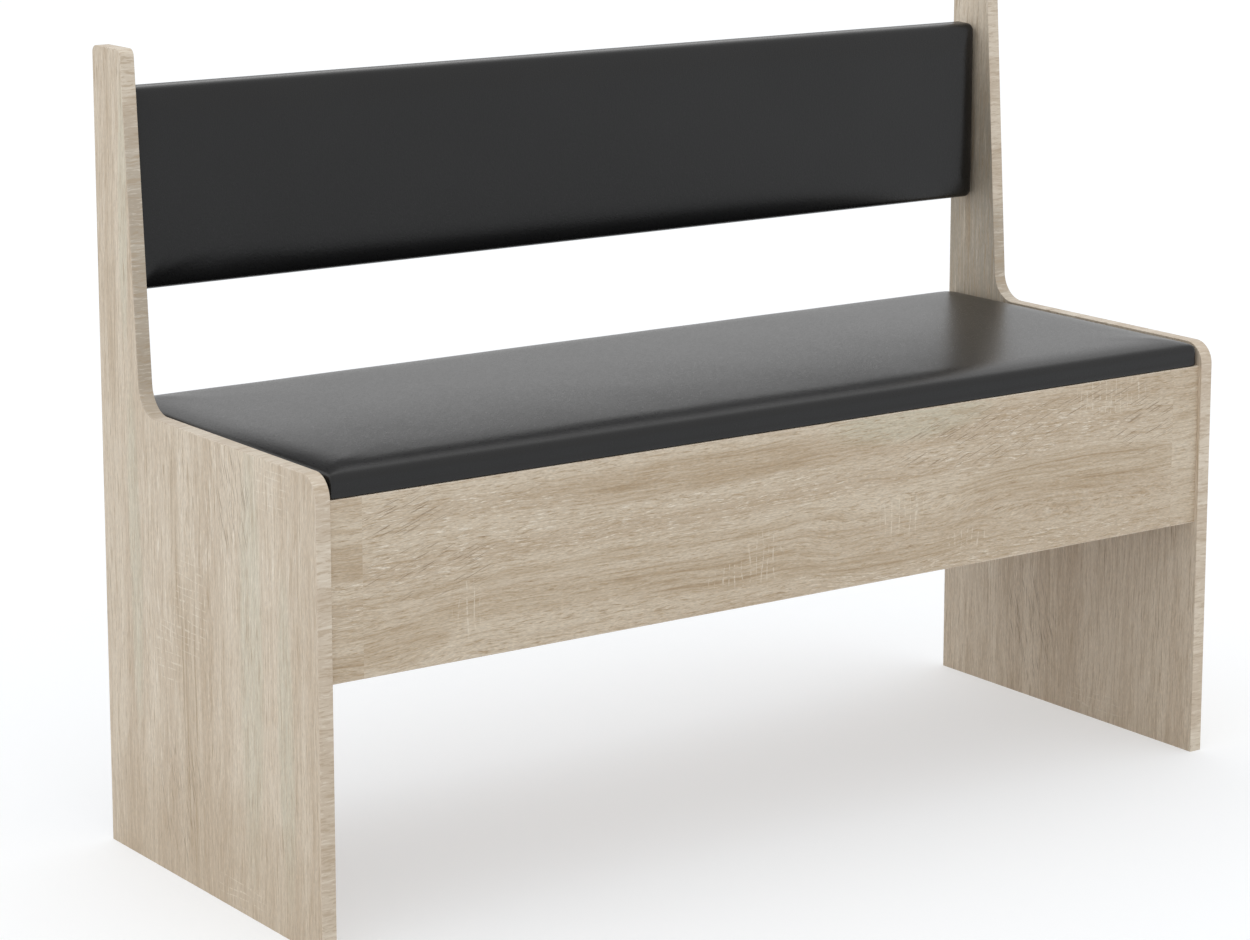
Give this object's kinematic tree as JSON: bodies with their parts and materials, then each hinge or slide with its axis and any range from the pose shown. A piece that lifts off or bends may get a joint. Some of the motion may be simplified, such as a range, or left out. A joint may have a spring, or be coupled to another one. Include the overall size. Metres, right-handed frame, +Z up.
{
  "type": "corner bench",
  "caption": "Straight upholstered storage bench with shaped wood-effect side panels, a lift-up padded seat lid over a shallow box and a narrow padded backrest.",
  "frame": {"origin": "on the floor, below the middle of the bench's length and depth", "axes": "+X along the seat towards the sitter's left, -Y is the front, +Z up"},
  "size_m": [1.18, 0.443, 0.857],
  "materials": {
    "oak_laminate": "satin",
    "oak_edging": "satin",
    "hardboard": "matte",
    "beech": "matte",
    "chipboard": "matte",
    "black_leatherette": "satin",
    "foam": "matte",
    "lining": "matte",
    "zinc_steel": "satin",
    "cam_alloy": "matte"
  },
  "bodies": {
    "bench_frame": {"left_side_panel": "oak_laminate", "right_side_panel": "oak_laminate", "left_panel_edging": "oak_edging", "right_panel_edging": "oak_edging", "front_panel": "oak_laminate", "front_panel_edging": "oak_edging", "rear_panel": "oak_laminate", "rear_panel_edging": "oak_edging", "box_bottom": "hardboard", "bottom_rail": "oak_laminate", "cam_locks": "cam_alloy", "cam_bolts": "zinc_steel", "wood_dowels": "beech", "back_board": "chipboard", "back_foam": "foam", "back_cover": "black_leatherette", "back_lining": "lining", "back_brackets": "zinc_steel", "bracket_screws": "zinc_steel", "hinge_panel_leaves": "zinc_steel", "hinge_pins": "zinc_steel", "hinge_panel_screws": "zinc_steel"},
    "seat_lid": {"seat_board": "chipboard", "seat_foam": "foam", "seat_cover": "black_leatherette", "seat_lining": "lining", "hinge_lid_leaves": "zinc_steel", "hinge_lid_screws": "zinc_steel"}
  },
  "joints": [
    {"name": "seat_lid_hinge", "type": "hinge", "parent": "bench_frame", "child": "seat_lid", "pos_m": [0, 0.2191, 0.4548], "axis": [-1, 0, 0], "range_deg": [0, 61]}
  ]
}
